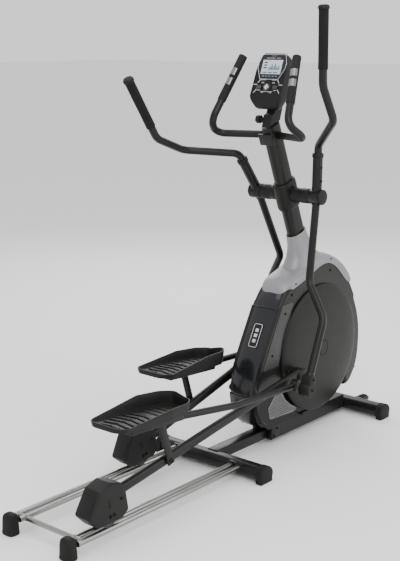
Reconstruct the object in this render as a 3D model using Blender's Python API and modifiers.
"""Elliptical trainer with a front crank and rear roller rails.

Metres, +Z up, +X the way the user faces, +Y the user's left. Every station along X is measured
from the rear feet; the empty "machine" carries all the pieces and moves the whole machine so
that the origin lies on the floor under the middle of its box.
"""
import math

import bmesh
import bpy
from mathutils import Matrix, Vector

# ---------------------------------------------------------------- driving dimensions
MID_X = 0.8820            # middle of the machine's length, measured from the rear feet
GAP = 0.0003              # clearance left between touching pieces

RAIL_Y, RAIL_SPREAD, RAIL_R, RAIL_Z = 0.133, 0.0170, 0.0100, 0.045
REAR_FOOT_X = (-0.020, 0.025)
REAR_FOOT_HALF, REAR_FOOT_HEIGHT = 0.0280, 0.071
MID_STAB_X, FRONT_STAB_X = 0.845, 1.695
STAB_DEPTH, STAB_Z = 0.066, (0.008, 0.060)
MID_STAB_HALF, FRONT_STAB_HALF = 0.225, 0.200
FOOT_LENGTH = 0.028

BEAM_X, BEAM_HALF, BEAM_Z = (1.150, 1.6615), 0.045, (0.020, 0.078)
CRANK = Vector((1.428, 0.0, 0.341))
CRANK_R, CRANK_ANGLE = 0.210, math.radians(196.7)
DISC_R, DISC_Y = 0.256, (0.0690, 0.0900)
FLYWHEEL = Vector((1.205, 0.0, 0.195))
FLYWHEEL_R, PULLEY_R, SMALL_PULLEY_R = 0.092, 0.135, 0.022
IDLER = Vector((1.340, 0.0, 0.158))
BELT_Y, BELT_T = (0.0080, 0.0200), 0.0025

SHELL_HALF, SHELL_WALL = 0.0660, 0.0030
MAST_FOOT, MAST_TOP = Vector((1.476, 0.0, 0.500)), Vector((1.177, 0.0, 1.228))
MAST_SIZE = (0.080, 0.050)
HUB = Vector((1.286, 0.0, 0.963))
AXLE_R = 0.012
HUB_Y = (0.1130, 0.1600)
FIXED_BAR_R = 0.0140

ARM_Y, ARM_LENGTH, ROLLER_R = 0.118, 1.090, 0.0372
ROLLER_Z = RAIL_Z + RAIL_R + ROLLER_R + GAP
PIVOT_ALONG = 0.320       # pedal pivot, measured along the roller arm from the roller axle
COVER_LEAN = math.radians(9.8)   # between the roller arm and its roller's cover
ARM_LIFT = (0.034, 0.012)  # how far the arm runs above its pivots, at the roller and the crank
PIVOT_LIFT = 0.028
PEDAL_Y, PEDAL_SIZE, PEDAL_WALL = 0.097, (0.358, 0.144), 0.006
PEDAL_TILT = math.radians(3.5)
PEDAL_CENTRE = Vector((-0.085, 0.0, 0.166))   # footplate's centre from the pedal pivot
LINK_Y, LINK_END = 0.163, Vector((0.6726, 0.0, 0.0970))
SWING_TURN = math.radians(35.6)   # how far the left swing arm is turned from the right one

REAR_EDGE = [(1.022, 0.235), (1.034, 0.290), (1.070, 0.370), (1.146, 0.510), (1.180, 0.568),
             (1.224, 0.612)]
TOP_EDGE = [(1.276, 0.627), (1.331, 0.644), (1.392, 0.667), (1.442, 0.682), (1.496, 0.681),
            (1.545, 0.664)]
FRONT_EDGE = [(1.602, 0.620), (1.660, 0.545), (1.720, 0.446), (1.746, 0.350), (1.743, 0.240),
              (1.713, 0.157), (1.670, 0.107)]

CONSOLE_FACE = (Vector((1.128, 0.0, 1.308)), Vector((1.200, 0.0, 1.490)))
CONSOLE_DEPTH = 0.056
CHIN_DROP, CHIN_HALF = 0.112, 0.055
KNOB = Vector((1.161, 0.0, 1.248))

SIDES = {"right": -1, "left": 1}


# ---------------------------------------------------------------- helpers
def collection(name):
    """Return a new collection linked to the scene."""
    made = bpy.data.collections.new(name)
    bpy.context.scene.collection.children.link(made)
    return made


def finish(name, colour, roughness, metallic=0.0):
    """Make a Principled material."""
    mat = bpy.data.materials.new(name)
    mat.use_nodes = True
    shader = mat.node_tree.nodes["Principled BSDF"]
    shader.inputs["Base Color"].default_value = (*colour, 1.0)
    shader.inputs["Roughness"].default_value = roughness
    shader.inputs["Metallic"].default_value = metallic
    return mat


def settle(obj, name, mat, smooth=True):
    """Name an object, dress it, put it in the machine and shade it."""
    obj.name = obj.data.name = name
    for home in list(obj.users_collection):
        home.objects.unlink(obj)
    PARTS.objects.link(obj)
    obj.data.materials.clear()
    obj.data.materials.append(mat)
    obj.parent = MACHINE
    if smooth and obj.type == "MESH":
        obj.data.shade_smooth()
        obj.data.set_sharp_from_angle(angle=math.radians(35))
    return obj


def mesh_object(name, bm, mat):
    """Turn a bmesh into a finished piece."""
    bmesh.ops.recalc_face_normals(bm, faces=bm.faces)
    mesh = bpy.data.meshes.new(name)
    bm.to_mesh(mesh)
    bm.free()
    obj = bpy.data.objects.new(name, mesh)
    bpy.context.scene.collection.objects.link(obj)
    return settle(obj, name, mat)


def box(name, low, high, mat, bevel=0.0, segments=1):
    """A block between two corners, with its edges rounded."""
    bm = bmesh.new()
    bmesh.ops.create_cube(bm, size=1.0)
    size = Vector(high) - Vector(low)
    bmesh.ops.scale(bm, vec=size, verts=bm.verts)
    if bevel:
        bmesh.ops.bevel(bm, geom=bm.edges[:], offset=bevel, segments=segments, profile=0.5,
                        affect="EDGES", material=-1)
    bmesh.ops.translate(bm, vec=(Vector(low) + Vector(high)) / 2, verts=bm.verts)
    return mesh_object(name, bm, mat)


def cylinder(name, start, end, radius, mat, sides=16):
    """A round bar between two points."""
    start, end = Vector(start), Vector(end)
    axis = end - start
    bm = bmesh.new()
    bmesh.ops.create_cone(bm, cap_ends=True, segments=sides, radius1=radius, radius2=radius,
                          depth=axis.length)
    turn = Vector((0, 0, 1)).rotation_difference(axis.normalized()).to_matrix().to_4x4()
    bmesh.ops.transform(bm, matrix=Matrix.Translation((start + end) / 2) @ turn, verts=bm.verts)
    return mesh_object(name, bm, mat)


def turned(name, profile, centre, mat, steps=24, closed=False):
    """Turn a profile of (radius, y) points about the Y axis through centre."""
    bm = bmesh.new()
    verts = [bm.verts.new((r, y, 0.0)) for r, y in profile]
    edges = [bm.edges.new(pair) for pair in zip(verts, verts[1:])]
    if closed:
        edges.append(bm.edges.new((verts[-1], verts[0])))
    bmesh.ops.spin(bm, geom=verts + edges, cent=(0, 0, 0), axis=(0, 1, 0), angle=math.tau,
                   steps=steps, use_merge=True)
    bmesh.ops.remove_doubles(bm, verts=bm.verts, dist=0.00001)
    bmesh.ops.translate(bm, vec=centre, verts=bm.verts)
    return mesh_object(name, bm, mat)


def slab(name, outline, low, high, mat, bevel=0.0):
    """Extrude an outline of (x, z) points along Y, from low to high."""
    bm = bmesh.new()
    face = bm.faces.new([bm.verts.new((x, low, z)) for x, z in outline])
    ring = bmesh.ops.extrude_face_region(bm, geom=[face])["geom"]
    moved = [item for item in ring if isinstance(item, bmesh.types.BMVert)]
    bmesh.ops.translate(bm, vec=(0, high - low, 0), verts=moved)
    if bevel:
        rims = [e for e in bm.edges if abs(e.verts[0].co.y - e.verts[1].co.y) < 1e-6]
        bmesh.ops.bevel(bm, geom=rims, offset=bevel, segments=2, profile=0.5, affect="EDGES",
                        material=-1)
    return mesh_object(name, bm, mat)


def rounded(corners, radii, steps=4):
    """Round the corners of an open or closed path of points with arcs."""
    path = [Vector(corners[0])]
    for before, here, after, radius in zip(corners, corners[1:], corners[2:], radii):
        here = Vector(here)
        towards, away = (Vector(before) - here).normalized(), (Vector(after) - here).normalized()
        half = towards.angle(away) / 2
        reach = radius / math.tan(half)
        centre = here + (towards + away).normalized() * (radius / math.sin(half))
        first = (here + towards * reach - centre).normalized()
        last = (here + away * reach - centre).normalized()
        for step in range(steps + 1):
            path.append(centre + first.slerp(last, step / steps) * radius)
    path.append(Vector(corners[-1]))
    return path


def tube(name, path, radius, mat, resolution=2):
    """A bent round tube along a path, made as a bevelled curve and turned into a mesh."""
    curve = bpy.data.curves.new(name, "CURVE")
    curve.dimensions = "3D"
    curve.bevel_depth = radius
    curve.bevel_resolution = resolution
    curve.use_fill_caps = True
    spline = curve.splines.new("POLY")
    spline.points.add(len(path) - 1)
    for point, place in zip(spline.points, path):
        point.co = (*place, 1.0)
    source = bpy.data.objects.new(name, curve)
    bpy.context.scene.collection.objects.link(source)
    graph = bpy.context.evaluated_depsgraph_get()
    mesh = bpy.data.meshes.new_from_object(source.evaluated_get(graph))
    bpy.data.objects.remove(source)
    bm = bmesh.new()
    bm.from_mesh(mesh)
    bpy.data.meshes.remove(mesh)
    bmesh.ops.remove_doubles(bm, verts=bm.verts, dist=0.00001)
    return mesh_object(name, bm, mat)


def combine(target, tool, operation):
    """Join a tool to the target, or cut it from it, and remove the tool."""
    modifier = target.modifiers.new("combine", "BOOLEAN")
    modifier.object = tool
    modifier.operation = operation
    modifier.solver = "EXACT"
    graph = bpy.context.evaluated_depsgraph_get()
    mesh = bpy.data.meshes.new_from_object(target.evaluated_get(graph))
    target.modifiers.clear()
    old = target.data
    target.data = mesh
    bpy.data.meshes.remove(old)
    mesh.name = target.name
    bpy.data.objects.remove(tool)
    return target


def place_origin(name, point):
    """Move a finished piece's origin to a point, leaving its shape where it is."""
    obj = bpy.data.objects[name]
    obj.data.transform(Matrix.Translation(-Vector(point)))
    obj.location = point


def join(target, *tools):
    """Union of the target with every tool."""
    for tool in tools:
        combine(target, tool, "UNION")
    return target


def cut(target, *tools):
    """Difference of the target and every tool."""
    for tool in tools:
        combine(target, tool, "DIFFERENCE")
    return target


def stadium(width, height, steps=5):
    """Outline of a flattened oval, as (across, up) points round its centre."""
    radius = min(width, height) / 2
    long_half = max(width, height) / 2 - radius
    points = []
    for side, start in ((1, -90), (-1, 90)):
        for step in range(steps + 1):
            angle = math.radians(start + 180 * step / steps)
            points.append((side * long_half + radius * math.cos(angle), radius * math.sin(angle)))
    return points if width >= height else [(-up, across) for across, up in points]


def oval_bar(name, start, end, width, depth, mat, across=(0, 1, 0)):
    """A bar of oval section; depth lies along across, width at right angles to it."""
    start, end = Vector(start), Vector(end)
    along = (end - start).normalized()
    across = Vector(across)
    side = along.cross(across).normalized()
    bm = bmesh.new()
    ring = [bm.verts.new(start + side * u + across * v) for u, v in stadium(width, depth)]
    face = bm.faces.new(ring)
    grown = bmesh.ops.extrude_face_region(bm, geom=[face])["geom"]
    moved = [item for item in grown if isinstance(item, bmesh.types.BMVert)]
    bmesh.ops.translate(bm, vec=end - start, verts=moved)
    return mesh_object(name, bm, mat)


def arc(centre, radius, first, last, steps):
    """Points (x, z) along an arc, in degrees from +X towards +Z."""
    for step in range(steps + 1):
        angle = math.radians(first + (last - first) * step / steps)
        yield (centre.x + radius * math.cos(angle), centre.z + radius * math.sin(angle))


def mirrored(points, side):
    """Points given for the left side, moved to the side asked for."""
    return [Vector((p[0], p[1] * side, p[2])) for p in points]


def ordered(side, near, far):
    """Low and high Y of a piece lying between near and far on one side."""
    return tuple(sorted((side * near, side * far)))


# ---------------------------------------------------------------- base frame
def build_base():
    """Stabilisers, beam, rails and feet."""
    middle = sum(STAB_Z) / 2
    height = STAB_Z[1] - STAB_Z[0]
    for name, station, half in (("middle", MID_STAB_X, MID_STAB_HALF),
                                ("front", FRONT_STAB_X, FRONT_STAB_HALF)):
        bar = oval_bar(f"{name}_stabiliser", (station, -half, middle), (station, half, middle),
                       height, STAB_DEPTH, BLACK_STEEL, across=(1, 0, 0))
        if name == "middle":
            join(bar, box("centre_tube", (station, -0.026, 0.024), (BEAM_X[0] - GAP, 0.026, 0.064),
                          BLACK_STEEL, 0.008))
        else:
            add_wheel_forks(bar)
        for side, sign in SIDES.items():
            low, high = ordered(sign, half + GAP, half + FOOT_LENGTH)
            box(f"{name}_foot_{side}", (station - STAB_DEPTH / 2 - 0.004, low, 0.0),
                (station + STAB_DEPTH / 2 + 0.004, high, STAB_Z[1] + 0.004), RUBBER, 0.010, 2)
    reach = RAIL_Y + RAIL_SPREAD
    rails = cylinder("rail_frame", (0.048, -reach, RAIL_Z), (0.048, reach, RAIL_Z), 0.0090,
                     BRIGHT_STEEL, 14)
    for side, sign in SIDES.items():
        for shift in (-RAIL_SPREAD, RAIL_SPREAD):
            y = sign * (RAIL_Y + shift)
            join(rails, cylinder("rail", (REAR_FOOT_X[1] + GAP, y, RAIL_Z),
                                 (MID_STAB_X - STAB_DEPTH / 2 - GAP, y, RAIL_Z), RAIL_R,
                                 BRIGHT_STEEL))
        low, high = ordered(sign, RAIL_Y - REAR_FOOT_HALF, RAIL_Y + REAR_FOOT_HALF)
        box(f"rear_foot_{side}", (REAR_FOOT_X[0], low, 0.0),
            (REAR_FOOT_X[1], high, REAR_FOOT_HEIGHT), RUBBER, 0.012, 2)


def wheel_centre(sign):
    """Axle point of a transport wheel."""
    return Vector((1.760, sign * 0.082, 0.036))


def add_wheel_forks(bar):
    """Weld a fork for each transport wheel to the front stabiliser."""
    for sign in SIDES.values():
        centre = wheel_centre(sign)
        fork = box("fork", (FRONT_STAB_X + 0.011, centre.y - 0.020, 0.018),
                   (1.770, centre.y + 0.020, 0.054), BLACK_STEEL, 0.003)
        slot = box("slot", (1.7330, centre.y - 0.0115, 0.0), (1.80, centre.y + 0.0115, 0.07),
                   BLACK_STEEL)
        bore = cylinder("bore", centre - Vector((0, 0.03, 0)), centre + Vector((0, 0.03, 0)),
                        0.0043, BLACK_STEEL, 16)
        cut(join(bar, fork), slot, bore)


def build_transport_wheels():
    """Small wheels at the front, clear of the floor until the machine is tipped."""
    radius = 0.024
    for side, sign in SIDES.items():
        turned(f"transport_wheel_{side}",
               [(0, -0.019), (0.004, -0.019), (0.004, -0.010), (radius - 0.003, -0.010),
                (radius, -0.007), (radius, 0.007), (radius - 0.003, 0.010), (0.004, 0.010),
                (0.004, 0.019), (0, 0.019)], wheel_centre(sign), RUBBER, 16)
        place_origin(f"transport_wheel_{side}", wheel_centre(sign))


def build_main_frame():
    """Box beam with the two upright plates that carry the bearings and the mast's foot."""
    outline = [(1.156, 0.0600), (1.535, 0.0600), (1.500, 0.330), (1.480, 0.600), (1.375, 0.600),
               (1.300, 0.300), (1.156, 0.235)]
    frame = box("main_frame", (BEAM_X[0], -BEAM_HALF, BEAM_Z[0]),
                (BEAM_X[1], BEAM_HALF, BEAM_Z[1]), BLACK_STEEL, 0.003)
    for sign in SIDES.values():
        join(frame, slab("plate", outline, *ordered(sign, 0.0380, 0.0420), BLACK_STEEL))
    cut(frame, cylinder("bore", CRANK - Vector((0, 0.06, 0)), CRANK + Vector((0, 0.06, 0)),
                        0.0262, BLACK_STEEL, 24))
    reach = Vector((0, 0.0460, 0))
    join(frame, cylinder("flywheel_axle", FLYWHEEL - reach, FLYWHEEL + reach, 0.0060, BLACK_STEEL))


# ---------------------------------------------------------------- drive
def build_drive():
    """Crank axle, bearings, crank arms, side discs, pulley, belt, flywheel and brake."""
    build_pulley()
    pin = CRANK + Vector((math.cos(CRANK_ANGLE), 0, math.sin(CRANK_ANGLE))) * CRANK_R
    for side, sign in SIDES.items():
        turned(f"crank_bearing_{side}",
               [(0.0103, -0.006), (0.0255, -0.006), (0.0255, 0.006), (0.0103, 0.006)],
               CRANK + Vector((0, sign * 0.040, 0)), BRIGHT_STEEL, 24, closed=True)
        reach = (pin - CRANK) * (-sign)
        here = CRANK + reach
        build_crank_arm(side, sign, reach, here)
        build_disc(side, sign, here)
        place_origin(f"crank_arm_{side}", CRANK)
        place_origin(f"crank_disc_{side}", CRANK)
    turned("flywheel",
           [(0.0063, -0.034), (0.020, -0.034), (0.020, -0.028), (FLYWHEEL_R - 0.026, -0.028),
            (FLYWHEEL_R - 0.022, -0.034), (FLYWHEEL_R, -0.034), (FLYWHEEL_R, -0.008),
            (FLYWHEEL_R - 0.022, -0.008), (FLYWHEEL_R - 0.026, -0.014), (0.018, -0.014),
            (0.018, BELT_Y[0] - 0.001), (SMALL_PULLEY_R, BELT_Y[0] - 0.001),
            (SMALL_PULLEY_R, BELT_Y[1] + 0.001), (0.0063, BELT_Y[1] + 0.001)],
           FLYWHEEL, CAST_METAL, 28, closed=True)
    place_origin("flywheel", FLYWHEEL)
    build_belt()
    build_brake()


def build_pulley():
    """Crank axle with the large belt pulley pressed on it."""
    turned("crank_pulley",
           [(0, -0.0845), (0.0100, -0.0845), (0.0100, 0.004), (0.026, 0.004), (0.026, 0.010),
            (PULLEY_R - 0.012, 0.012), (PULLEY_R - 0.012, BELT_Y[0] - 0.001),
            (PULLEY_R, BELT_Y[0] - 0.001), (PULLEY_R, BELT_Y[1] + 0.001),
            (PULLEY_R - 0.012, BELT_Y[1] + 0.001), (PULLEY_R - 0.012, 0.016), (0.026, 0.018),
            (0.026, 0.024), (0.0100, 0.024), (0.0100, 0.0845), (0, 0.0845)],
           CRANK, BRIGHT_STEEL, 28)
    place_origin("crank_pulley", CRANK)


def build_crank_arm(side, sign, reach, here):
    """Forged arm from the axle to the crank pin, inside the side disc."""
    low, high = ordered(sign, 0.0705, 0.0845)
    arm = oval_bar(f"crank_arm_{side}", CRANK + Vector((0, low, 0)) - reach.normalized() * 0.022,
                   here + Vector((0, low, 0)) + reach.normalized() * 0.020, 0.040, 0.014,
                   BRIGHT_STEEL, across=(0, 1, 0))
    for vertex in arm.data.vertices:
        vertex.co.y += (high - low) / 2
    cut(arm, cylinder("bore", CRANK - Vector((0, 0.1, 0)), CRANK + Vector((0, 0.1, 0)), 0.0103,
                      BLACK_STEEL))
    start, end = ordered(sign, 0.0750, 0.0920)
    join(arm, cylinder("pin", here + Vector((0, start, 0)), here + Vector((0, end, 0)), 0.0080,
                       BRIGHT_STEEL, 20))


def build_disc(side, sign, here):
    """Round side cover that turns with the crank: a dish with a deep rim and a hub."""
    back, face = DISC_Y
    wall = 0.0030
    profile = [(0, face - 0.0045), (0.190, face - 0.0045), (0.215, face - wall),
               (DISC_R - wall, face - 0.0085), (DISC_R - wall, back), (DISC_R, back),
               (DISC_R, face - 0.0080), (0.250, face - 0.0015), (0.240, face), (0.215, face),
               (0.190, face - 0.0015), (0.024, face - 0.0015), (0.022, face + 0.0015),
               (0, face + 0.0015)]
    disc = turned(f"crank_disc_{side}", [(r, sign * y) for r, y in profile], CRANK, MATTE_BLACK,
                  48)
    cut(disc, cylinder("bore", here - Vector((0, 0.1, 0)), here + Vector((0, 0.1, 0)), 0.0090,
                       BLACK_STEEL))


def belt_outline(radius_big, radius_small):
    """Loop round both pulleys as two arcs joined by their common tangents."""
    line = Vector((CRANK.x - FLYWHEEL.x, CRANK.z - FLYWHEEL.z))
    heading = math.degrees(math.atan2(line.y, line.x))
    lean = math.degrees(math.acos((radius_big - radius_small) / line.length))
    return (list(arc(CRANK, radius_big, heading - 180 + lean, heading + 180 - lean, 24))
            + list(arc(FLYWHEEL, radius_small, heading + 180 - lean, heading + 180 + lean, 8)))


def build_belt():
    """Poly-V belt from the crank pulley to the flywheel, with its idler."""
    slack = 0.0010
    belt = slab("drive_belt", belt_outline(PULLEY_R + slack + BELT_T,
                                           SMALL_PULLEY_R + slack + BELT_T), *BELT_Y, RUBBER)
    inside = slab("inside", belt_outline(PULLEY_R + slack, SMALL_PULLEY_R + slack), -0.05, 0.05,
                  RUBBER)
    cut(belt, inside)
    turned("belt_idler", [(0, -0.0377), (0.0040, -0.0377), (0.0040, 0.005), (0.016, 0.005),
                          (0.016, 0.023), (0.0040, 0.023), (0.0040, 0.0377), (0, 0.0377)],
           IDLER, BRIGHT_STEEL, 20)
    place_origin("belt_idler", IDLER)


def build_brake():
    """Magnet shoe that swings about the flywheel's centre, over part of its rim."""
    outer, inner = FLYWHEEL_R + 0.016, FLYWHEEL_R + 0.003
    outline = list(arc(FLYWHEEL, outer, 50, 115, 10)) + list(arc(FLYWHEEL, inner, 115, 50, 10))
    slab("brake_shoe", outline, -0.036, -0.006, CAST_METAL)
    place_origin("brake_shoe", FLYWHEEL)


# ---------------------------------------------------------------- covers
def half_shell(name, outline, side, mat, half=SHELL_HALF):
    """Half of a casing: a side wall with a rim that runs to the middle plane."""
    bm = bmesh.new()
    face = bm.faces.new([bm.verts.new((x, side * half, z)) for x, z in outline])
    rim = bmesh.ops.extrude_edge_only(bm, edges=list(face.edges))["geom"]
    edge = [item for item in rim if isinstance(item, bmesh.types.BMVert)]
    for vertex in edge:
        vertex.co.y = side * 0.00015
    bmesh.ops.bevel(bm, geom=list(face.edges), offset=0.008, segments=3, profile=0.5, affect="EDGES",
                    material=-1)
    bmesh.ops.recalc_face_normals(bm, faces=bm.faces)
    wall = max(bm.faces, key=lambda f: f.calc_area())
    if wall.normal.y * side < 0:
        bmesh.ops.reverse_faces(bm, faces=bm.faces)
    mesh = bpy.data.meshes.new(name)
    bm.to_mesh(mesh)
    bm.free()
    obj = bpy.data.objects.new(name, mesh)
    bpy.context.scene.collection.objects.link(obj)
    settle(obj, name, mat)
    thick = obj.modifiers.new("wall", "SOLIDIFY")
    thick.thickness = SHELL_WALL
    thick.offset = -1.0
    thick.use_even_offset = True
    graph = bpy.context.evaluated_depsgraph_get()
    solid = bpy.data.meshes.new_from_object(obj.evaluated_get(graph))
    obj.modifiers.clear()
    obj.data = solid
    return obj


def housing_outline():
    """Side view of the main casing, as (x, z) points."""
    return REAR_EDGE + TOP_EDGE + FRONT_EDGE + housing_belly()


def housing_belly():
    """Under edge of the casing, hidden behind the side discs."""
    return list(arc(CRANK, 0.238, 325, 206, 16))


def base_cover_outline():
    """Side view of the low cover on the beam: its top is hollow, round the side discs."""
    hollow = list(arc(CRANK, 0.276, 205, 250, 10))
    return [(1.105, 0.0785), (1.060, 0.115), (1.030, 0.170), (1.022, 0.228)] + hollow + [
        (1.350, 0.0785)]


def build_covers():
    """Casing halves, base cover halves, rear panel, trim, badge and the mast's collar."""
    for side, sign in SIDES.items():
        shell = half_shell(f"housing_{side}", housing_outline(), sign, GLOSS_BLACK)
        cut(shell, cylinder("bore", CRANK + Vector((0, sign * 0.03, 0)),
                            CRANK + Vector((0, sign * 0.09, 0)), 0.030, BLACK_STEEL),
            box("mouth", (1.098, -0.0455, 0.080), (1.560, 0.0455, 0.260), BLACK_STEEL),
            oval_bar("opening", MAST_FOOT, MAST_TOP, MAST_SIZE[0] + 0.006, MAST_SIZE[1] + 0.006,
                     BLACK_STEEL))
    build_base_cover()
    build_rear_panel()


def build_base_cover():
    """Low boat-shaped cover on the beam, open below and over the wheels inside it."""
    half = SHELL_HALF - 0.002
    cover = slab("base_cover", base_cover_outline(), -half, half, MATTE_BLACK, 0.006)
    inside = [(1.112, 0.0600), (1.066, 0.117), (1.035, 0.172), (1.028, 0.223)]
    inside += list(arc(CRANK, 0.279, 206, 248, 10)) + [(1.320, 0.0600)]
    cut(cover, slab("inside", inside, 0.0035 - half, half - 0.0035, BLACK_STEEL),
        slab("mouth", [(1.104, 0.155), (1.104, 0.350), (1.400, 0.350), (1.400, 0.0600),
                       (1.200, 0.0600)], -0.0445, 0.0445, BLACK_STEEL))


def build_rear_panel():
    """Glossy panel down the casing's back, the grey side strips and a blank badge plate."""
    spine = [Vector((x, 0.0, z)) for x, z in REAR_EDGE]
    spine[0].z += 0.004
    outer = []
    for index, point in enumerate(spine):
        before = spine[max(index - 1, 0)]
        after = spine[min(index + 1, len(spine) - 1)]
        along = (after - before).normalized()
        outer.append((point + Vector((-along.z, 0, along.x)) * 0.005).xz[:])
    inner = [(p.x - 0.0006, p.z + 0.0003) for p in spine]
    slab("rear_panel", inner + outer[::-1], -0.056, 0.056, GLOSS_BLACK, 0.0015)
    for side, sign in SIDES.items():
        low, high = ordered(sign, SHELL_HALF + GAP, SHELL_HALF + 0.0022)
        slab(f"trim_strip_{side}", [(1.058, 0.322), (1.156, 0.322), (1.250, 0.556),
                                    (1.180, 0.556)], low, high, DARK_GREY)
    plate = box("badge_plate", (-0.0012, -0.021, -0.048), (0.0012, 0.021, 0.048), DARK_GREY,
                0.0008)
    lean = math.atan2(REAR_EDGE[3][0] - REAR_EDGE[2][0], REAR_EDGE[3][1] - REAR_EDGE[2][1])
    turn = Matrix.Rotation(lean, 4, "Y")
    normal = Vector((-math.cos(lean), 0, math.sin(lean)))
    middle = (Vector((REAR_EDGE[2][0], 0, REAR_EDGE[2][1]))
              + Vector((REAR_EDGE[3][0], 0, REAR_EDGE[3][1]))) / 2
    place = middle + normal * 0.0071
    plate.data.transform(Matrix.Translation(place) @ turn)


def loft(name, sections, mat):
    """Skin a run of closed rings that all have the same number of points, and cap both ends."""
    bm = bmesh.new()
    rings = [[bm.verts.new(p) for p in section] for section in sections]
    for ring, following in zip(rings, rings[1:]):
        count = len(ring)
        for i in range(count):
            bm.faces.new((ring[i], ring[(i + 1) % count], following[(i + 1) % count],
                          following[i]))
    bm.faces.new(rings[0])
    bm.faces.new(rings[-1][::-1])
    return mesh_object(name, bm, mat)


def collar_ring(height, centre_x, half_x, half_y, steps=20):
    """One oval ring of the mast collar's funnel."""
    angles = [math.tau * step / steps for step in range(steps)]
    return [Vector((centre_x + half_x * math.cos(a), half_y * math.sin(a), height))
            for a in angles]


def build_collar():
    """Silver funnel round the mast on a saddle that closes the top of the casing."""
    over = [(1.655, 0.580), (1.662, 0.590), (1.645, 0.614), (1.612, 0.648), (1.569, 0.681),
            (1.523, 0.704), (1.480, 0.718), (1.400, 0.715), (1.330, 0.665), (1.280, 0.643),
            (1.228, 0.624), (1.208, 0.600)]
    saddle = slab("mast_collar", over[::-1] + [(1.560, 0.560), (1.280, 0.560)],
                  -SHELL_HALF - 0.0015, SHELL_HALF + 0.0015, SILVER, 0.006)
    funnel = loft("funnel", [collar_ring(0.655, 1.405, 0.100, 0.0600),
                             collar_ring(0.690, 1.395, 0.088, 0.0540),
                             collar_ring(0.730, 1.381, 0.069, 0.0440),
                             collar_ring(0.770, 1.364, 0.055, 0.0370),
                             collar_ring(0.806, 1.350, 0.048, 0.0330)], SILVER)
    join(saddle, funnel)
    lean = (MAST_TOP - MAST_FOOT).normalized()
    cut(saddle, oval_bar("opening", MAST_FOOT, MAST_FOOT + lean * 0.5, MAST_SIZE[0] + 2 * GAP,
                         MAST_SIZE[1] + 2 * GAP, BLACK_STEEL),
        slab("inner", housing_top_space(), -SHELL_HALF - 0.01, SHELL_HALF + 0.01, BLACK_STEEL))


def housing_top_space():
    """Room that the collar leaves for the top of the casing."""
    lift = 0.0006
    rim = [(x, z + lift) for x, z in REAR_EDGE[-2:] + TOP_EDGE + FRONT_EDGE[:2]]
    rim[0] = (rim[0][0] - 0.010, rim[0][1] + 0.0030)
    rim[1] = (rim[1][0] - 0.003, rim[1][1] + 0.0030)
    return [(1.100, 0.450)] + rim + [(1.700, 0.450)]


# ---------------------------------------------------------------- mast and console
def build_mast():
    """Mast, the pivot axle through it and the cross-shaped cover round the pivot."""
    mast = oval_bar("mast", MAST_FOOT, MAST_TOP, *MAST_SIZE, BLACK_STEEL)
    cut(mast, cylinder("bore", HUB - Vector((0, 0.1, 0)), HUB + Vector((0, 0.1, 0)),
                       AXLE_R + GAP, BLACK_STEEL))
    cylinder("pivot_axle", HUB - Vector((0, 0.1595, 0)), HUB + Vector((0, 0.1595, 0)), AXLE_R,
             BRIGHT_STEEL)
    lean = (MAST_TOP - MAST_FOOT).normalized()
    cover = oval_bar("pivot_cover", HUB - lean * 0.055, HUB + lean * 0.055,
                     MAST_SIZE[0] + 0.020, MAST_SIZE[1] + 0.020, MATTE_BLACK)
    barrel = cylinder("barrel", HUB - Vector((0, HUB_Y[0] - 0.0010, 0)),
                      HUB + Vector((0, HUB_Y[0] - 0.0010, 0)), 0.029, MATTE_BLACK)
    join(cover, barrel)
    cut(cover, oval_bar("opening", MAST_FOOT, MAST_TOP, MAST_SIZE[0] + 2 * GAP,
                        MAST_SIZE[1] + 2 * GAP, BLACK_STEEL),
        cylinder("bore", HUB - Vector((0, 0.2, 0)), HUB + Vector((0, 0.2, 0)), AXLE_R + GAP,
                 BLACK_STEEL))


def build_fixed_bar():
    """Fixed handlebar: a cross bar clamped on the mast whose ends rise beside the console."""
    clamp = MAST_TOP - (MAST_TOP - MAST_FOOT).normalized() * 0.040
    corners = [(clamp.x, 0.032, clamp.z), (1.107, 0.205, 1.193), (1.044, 0.170, 1.245),
               (1.1664, 0.120, 1.475)]
    half = rounded(corners, (0.038, 0.045))
    path = mirrored(half[::-1], -1) + half
    bar = tube("fixed_bar", path, FIXED_BAR_R, MATTE_BLACK, 3)
    tool = cylinder("bore", (clamp.x, -0.06, clamp.z), (clamp.x, 0.06, clamp.z),
                    FIXED_BAR_R + 2 * GAP, MATTE_BLACK, 32)
    cut(bpy.data.objects["mast"], tool)


def face_frame():
    """Origin, right, up and outward directions of the console's face."""
    low, high = CONSOLE_FACE
    up = (high - low).normalized()
    out = Vector((-up.z, 0, up.x))
    return (low + high) / 2, Vector((0, -1, 0)), up, out


def on_face(obj, across, along, proud):
    """Move a piece made flat at the origin onto the console's face."""
    centre, right, up, out = face_frame()
    turn = Matrix((right, up, out)).transposed().to_4x4()
    place = Matrix.Translation(centre + right * across + up * along + out * proud)
    obj.data.transform(place @ turn)
    return obj


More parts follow.
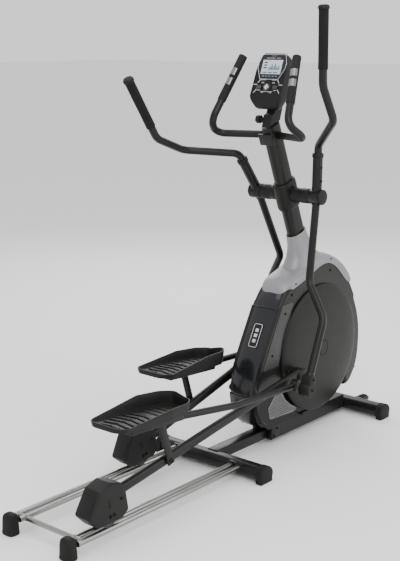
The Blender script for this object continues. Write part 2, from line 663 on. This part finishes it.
def build_console():
    """Console body with its screen, keys and centre dial, its neck and tilt knob."""
    outline = [(-0.058, 0.094), (0.058, 0.094), (0.068, 0.030), (0.070, -0.080), (0.058, -0.097),
               (-0.058, -0.097), (-0.070, -0.080), (-0.068, 0.030)]
    bm = bmesh.new()
    face = bm.faces.new([bm.verts.new((x, y, -CONSOLE_DEPTH)) for x, y in outline])
    grown = bmesh.ops.extrude_face_region(bm, geom=[face])["geom"]
    moved = [item for item in grown if isinstance(item, bmesh.types.BMVert)]
    bmesh.ops.translate(bm, vec=(0, 0, CONSOLE_DEPTH), verts=moved)
    bmesh.ops.bevel(bm, geom=bm.edges[:], offset=0.005, segments=2, profile=0.5, affect="EDGES",
                    material=-1)
    body = on_face(mesh_object("console_body", bm, MATTE_BLACK), 0, 0, 0)
    join(body, on_face(console_chin(), 0, 0, 0))
    screen_room = on_face(box("room", (-0.0455, 0.0125, -0.004), (0.0455, 0.0685, 0.01),
                              BLACK_STEEL), 0, 0, 0)
    cut(body, screen_room)
    on_face(box("console_screen", (-0.0450, 0.0130, -0.0037), (0.0450, 0.0680, -0.0002), LCD,
                0.0010), 0, 0, 0)
    keys = [("key_left", -0.036, -0.037), ("key_right", 0.036, -0.037)]
    for name, across, along in keys:
        well = on_face(box("well", (-0.0113, -0.0073, -0.0060), (0.0113, 0.0073, 0.01),
                           BLACK_STEEL), across, along, 0)
        cut(body, well)
        on_face(box(name, (-0.0110, -0.0070, -0.0025), (0.0110, 0.0070, 0.0020), DARK_GREY,
                    0.0010), across, along, 0)
    well = on_face(cylinder("well", (0, 0, -0.008), (0, 0, 0.01), 0.0153, BLACK_STEEL), 0,
                   -0.037, 0)
    cut(body, well)
    on_face(cylinder("console_dial", (0, 0, -0.0045), (0, 0, 0.0055), 0.0150, SILVER), 0,
            -0.037, 0)
    build_neck()


def console_chin():
    """Lower edge of the console, which falls away from its face."""
    bm = bmesh.new()
    section = [(-0.075, -0.0015), (-CHIN_DROP, -0.0240), (-CHIN_DROP, 0.0005 - CONSOLE_DEPTH),
               (-0.075, 0.0005 - CONSOLE_DEPTH)]
    face = bm.faces.new([bm.verts.new((-CHIN_HALF, y, z)) for y, z in section])
    grown = bmesh.ops.extrude_face_region(bm, geom=[face])["geom"]
    moved = [item for item in grown if isinstance(item, bmesh.types.BMVert)]
    bmesh.ops.translate(bm, vec=(2 * CHIN_HALF, 0, 0), verts=moved)
    bmesh.ops.bevel(bm, geom=bm.edges[:], offset=0.004, segments=2, profile=0.5, affect="EDGES",
                    material=-1)
    bmesh.ops.recalc_face_normals(bm, faces=bm.faces[:])
    return mesh_object("chin", bm, MATTE_BLACK)


def build_neck():
    """Bracket between the mast's top and the console, and the knob that locks its tilt."""
    centre, out = face_frame()[0], face_frame()[3]
    lean = (MAST_TOP - MAST_FOOT).normalized()
    foot = MAST_TOP + lean * GAP
    head = centre - out * (CONSOLE_DEPTH + 2 * GAP)
    face_up = face_frame()[2]
    high, low = head + face_up * 0.030, head - face_up * (CHIN_DROP + 0.0010)
    outline = [(foot.x - 0.030, foot.z - 0.008), (foot.x + 0.034, foot.z + 0.0155),
               (high.x + 0.030, high.z - 0.020), (high.x, high.z), (low.x, low.z),
               (low.x - 0.016, low.z - 0.008)]
    slab("console_neck", outline, -0.020, 0.020, MATTE_BLACK, 0.004)
    turned("console_knob", [(0, 0.0206), (0.0080, 0.0206), (0.0080, 0.0300), (0.0130, 0.0306),
                            (0.0150, 0.0330), (0.0150, 0.0470), (0.0120, 0.0500), (0, 0.0500)],
           KNOB, MATTE_BLACK, 20)
    place_origin("console_knob", KNOB)


# ---------------------------------------------------------------- swing arms
def swing_point(dx, y, dz, side):
    """A swing arm point, given from the hub with the right arm's lean, on either side."""
    if side > 0:
        cos, sin = math.cos(SWING_TURN), math.sin(SWING_TURN)
        dx, dz = dx * cos - dz * sin, dx * sin + dz * cos
    return Vector((HUB.x + dx, side * y, HUB.z + dz))


def build_swing_arms():
    """Moving handlebars: hub, lower tube, upper tube and grip on each side."""
    for side, sign in SIDES.items():
        hub_mid = sum(HUB_Y) / 2
        low, high = ordered(sign, HUB_Y[0], HUB_Y[1] + 0.008)
        arm = cylinder(f"swing_arm_{side}", (HUB.x, low, HUB.z), (HUB.x, high, HUB.z), 0.0290,
                       MATTE_BLACK)
        upper = tube("socket", [swing_point(*p, sign) for p in ((0, hub_mid, 0),
                                                                (-0.004, 0.141, 0.165))],
                     0.0190, MATTE_BLACK)
        corners = [swing_point(*p, sign) for p in (
            (0, 0.1365, 0), (-0.036, 0.136, -0.319), (-0.060, 0.222, -0.440),
            (-0.148, 0.222, -0.660))]
        lower = tube("lower", rounded(corners, (0.070, 0.080)), 0.0145, MATTE_BLACK)
        end = swing_point(-0.156, 0.222, -0.693, sign)
        boss = cylinder("boss", end - Vector((0, 0.026, 0)), end + Vector((0, 0.022, 0)), 0.0270,
                        MATTE_BLACK)
        neck = tube("neck", [swing_point(-0.140, 0.222, -0.630, sign), end], 0.0185, MATTE_BLACK)
        join(arm, upper, lower, neck, boss)
        cut(arm, cylinder("bore", (HUB.x, -HUB_Y[1], HUB.z), (HUB.x, HUB_Y[1], HUB.z),
                          AXLE_R + GAP, BLACK_STEEL))
        corners = [swing_point(*p, sign) for p in (
            (-0.0041, 0.1411, 0.1668), (-0.005, 0.1425, 0.190), (-0.123, 0.284, 0.294),
            (-0.206, 0.290, 0.416), (-0.2057, 0.289, 0.470))]
        tube(f"handlebar_{side}", rounded(corners, (0.040, 0.065, 0.070)), 0.0145, MATTE_BLACK)
        corners = [swing_point(*p, sign) for p in ((-0.2057, 0.289, 0.4703),
                                                   (-0.204, 0.285, 0.672))]
        grip = tube(f"grip_{side}", corners, 0.0175, RUBBER, 4)
        tip = swing_point(-0.204, 0.285, 0.672, sign)
        lean = (corners[1] - corners[0]).normalized()
        join(grip, cylinder("knob", tip - lean * 0.002, tip + lean * 0.014, 0.0205, RUBBER))
        for name in ("swing_arm", "handlebar", "grip"):
            place_origin(f"{name}_{side}", HUB)


# ---------------------------------------------------------------- pedals and rollers
def side_pose(sign):
    """Roller axle, crank pin and slope of the roller arm on one side at rest."""
    pin = CRANK - Vector((math.cos(CRANK_ANGLE), 0, math.sin(CRANK_ANGLE))) * CRANK_R * sign
    rise = pin.z - ROLLER_Z
    slope = math.asin(rise / ARM_LENGTH)
    axle = Vector((pin.x - ARM_LENGTH * math.cos(slope), 0, ROLLER_Z))
    return axle, pin, slope


def along_arm(axle, slope, distance, y, lift=0.0):
    """A point on the roller arm, with an offset square to it."""
    return Vector((axle.x + distance * math.cos(slope) - lift * math.sin(slope), y,
                   axle.z + distance * math.sin(slope) + lift * math.cos(slope)))


def build_legs():
    """Roller arm, roller with its cover, and pedal with its link on each side."""
    for side, sign in SIDES.items():
        axle, pin, slope = side_pose(sign)
        build_roller(side, sign, axle, slope)
        arm_y = sign * ARM_Y
        arm = oval_bar(f"roller_arm_{side}", along_arm(axle, slope, 0.0812, arm_y, ARM_LIFT[0]),
                       along_arm(axle, slope, ARM_LENGTH - 0.005, arm_y, ARM_LIFT[1]), 0.036,
                       0.026, MATTE_BLACK)
        low, high = ordered(sign, 0.0940, 0.1410)
        join(arm, cylinder("boss", pin + Vector((0, low, 0)), pin + Vector((0, high, 0)), 0.0285,
                           MATTE_BLACK))
        pivot = along_arm(axle, slope, PIVOT_ALONG, 0.0, PIVOT_LIFT)
        build_pedal(side, sign, pivot)
        for name in ("roller", "roller_axle", "roller_arm", "roller_cover"):
            place_origin(f"{name}_{side}", axle + Vector((0, sign * RAIL_Y, 0)))
        for name in ("pedal", "pedal_link"):
            place_origin(f"{name}_{side}", pivot + Vector((0, sign * ARM_Y, 0)))


def build_roller(side, sign, axle, slope):
    """Roller on its axle, under a deep cover whose sides hang beside it."""
    centre = axle + Vector((0, sign * RAIL_Y, 0))
    half = 0.0270
    turned(f"roller_{side}",
           [(0.0063, -half), (ROLLER_R - 0.003, -half), (ROLLER_R, -half + 0.003),
            (ROLLER_R, half - 0.003), (ROLLER_R - 0.003, half), (0.0063, half)],
           centre, DARK_GREY, 32, closed=True)
    cylinder(f"roller_axle_{side}", centre - Vector((0, 0.0400, 0)),
             centre + Vector((0, 0.0400, 0)), 0.0060, BRIGHT_STEEL, 20)
    profile = [(-0.052, -0.022), (0.050, -0.022), (0.0805, 0.000), (0.0691, 0.066),
               (0.050, 0.098), (0.004, 0.112), (-0.046, 0.096), (-0.093, 0.020)]
    outline = [along_arm(axle, slope - COVER_LEAN, x, 0, z).xz[:] for x, z in profile]
    cover = slab(f"roller_cover_{side}", outline, centre.y - 0.0360, centre.y + 0.0360,
                 MATTE_BLACK, 0.006)
    inner = [(-0.058, -0.040), (0.055, -0.040), (0.0730, 0.002), (0.0620, 0.062),
             (0.045, 0.091), (0.004, 0.104), (-0.041, 0.089), (-0.084, 0.016)]
    room = [along_arm(axle, slope - COVER_LEAN, x, 0, z).xz[:] for x, z in inner]
    cut(cover, slab("room", room, centre.y - 0.0310, centre.y + 0.0310, BLACK_STEEL),
        cylinder("bore", centre - Vector((0, 0.06, 0)), centre + Vector((0, 0.06, 0)), 0.0063,
                 BLACK_STEEL, 20))


def build_pedal(side, sign, pivot):
    """Footplate with a raised inner side and toe, its post and the link to the swing arm."""
    length, width = PEDAL_SIZE
    half = width / 2
    turn = Matrix.Rotation(PEDAL_TILT, 4, "Y")
    place = Matrix.Translation(pivot + PEDAL_CENTRE + Vector((0, sign * PEDAL_Y, 0)))
    bm = bmesh.new()
    outline = [(-length / 2, -0.050), (-length / 2 + 0.026, -half), (0.05, -half),
               (0.140, -half + 0.012), (length / 2, -0.034), (length / 2, 0.034),
               (0.140, half - 0.012), (0.05, half), (-length / 2 + 0.026, half),
               (-length / 2, 0.050)]
    floor = bm.faces.new([bm.verts.new((x, y * sign, 0)) for x, y in outline])
    rim = bmesh.ops.extrude_edge_only(bm, edges=list(floor.edges))["geom"]
    for vertex in (item for item in rim if isinstance(item, bmesh.types.BMVert)):
        forward = min(max((vertex.co.x + 0.16) / 0.20, 0), 1)
        inner = 0.013 if vertex.co.y * sign < 0 else 0.0
        vertex.co.z = 0.012 + (0.023 + inner) * forward
        vertex.co.y += 0.006 * math.copysign(1, vertex.co.y)
    bmesh.ops.recalc_face_normals(bm, faces=bm.faces)
    if floor.normal.z < 0:
        bmesh.ops.reverse_faces(bm, faces=bm.faces)
    mesh = bpy.data.meshes.new("pedal")
    bm.to_mesh(mesh)
    bm.free()
    mesh.transform(place @ turn)
    pedal = bpy.data.objects.new("pedal", mesh)
    bpy.context.scene.collection.objects.link(pedal)
    settle(pedal, f"pedal_{side}", MATTE_BLACK)
    thick = pedal.modifiers.new("wall", "SOLIDIFY")
    thick.thickness = PEDAL_WALL
    thick.offset = -1.0
    thick.use_even_offset = True
    graph = bpy.context.evaluated_depsgraph_get()
    pedal.data = bpy.data.meshes.new_from_object(pedal.evaluated_get(graph))
    pedal.modifiers.clear()
    build_pedal_link(side, sign, pivot, place @ turn)


def build_pedal_link(side, sign, pivot, plate):
    """Post, pivot and bent link under the footplate, as one welded piece."""
    under = -0.0064
    low, high = ordered(sign, -0.030, 0.046)
    bearer = box(f"pedal_link_{side}", (-0.100, low, under - 0.026), (0.150, high, under),
                 MATTE_BLACK, 0.003)
    bearer.data.transform(plate)
    top = plate @ Vector((0.030, 0.0, under - 0.010))
    outer_y = sign * (ARM_Y + 0.013 + GAP + 0.0015)
    foot = Vector((pivot.x, outer_y + sign * 0.004, pivot.z))
    cheek_top = Vector((top.x + 0.01, outer_y + sign * 0.004, top.z))
    post = oval_bar("post", foot - (cheek_top - foot).normalized() * 0.012, cheek_top, 0.032,
                    0.008, MATTE_BLACK)
    corners = [plate @ Vector((0.100, 0.020 * sign, under - 0.016)),
               Vector((pivot.x + 0.337, sign * 0.152, pivot.z + 0.107)),
               Vector((pivot.x + LINK_END.x, sign * LINK_Y, pivot.z + LINK_END.z))]
    link = tube("link", rounded(corners, (0.25,)), 0.0125, MATTE_BLACK)
    end = corners[-1]
    eye_low, eye_high = ordered(sign, LINK_Y - 0.014, LINK_Y + 0.014)
    eye = cylinder("eye", (end.x, eye_low, end.z), (end.x, eye_high, end.z), 0.0230, MATTE_BLACK)
    join(bearer, post, link, eye)


# ---------------------------------------------------------------- assembly
for leftover in list(bpy.data.objects):
    bpy.data.objects.remove(leftover)

PARTS = collection("elliptical_trainer")
MACHINE = bpy.data.objects.new("machine", None)
PARTS.objects.link(MACHINE)
MACHINE.location = (-MID_X, 0.0, 0.0)

BLACK_STEEL = finish("black_steel", (0.012, 0.012, 0.011), 0.40, 0.3)
MATTE_BLACK = finish("matte_black", (0.014, 0.014, 0.013), 0.50)
GLOSS_BLACK = finish("gloss_black", (0.010, 0.010, 0.011), 0.28)
DARK_GREY = finish("dark_grey", (0.065, 0.065, 0.066), 0.50)
RUBBER = finish("rubber", (0.012, 0.012, 0.012), 0.75)
SILVER = finish("silver_plastic", (0.30, 0.31, 0.33), 0.42)
BRIGHT_STEEL = finish("bright_steel", (0.55, 0.54, 0.52), 0.30, 0.9)
CAST_METAL = finish("cast_metal", (0.16, 0.16, 0.16), 0.45, 0.8)
LCD = finish("lcd", (0.42, 0.48, 0.52), 0.20)

build_base()
build_transport_wheels()
build_main_frame()
build_drive()
build_covers()
build_collar()
build_mast()
build_fixed_bar()
build_console()
build_swing_arms()
build_legs()
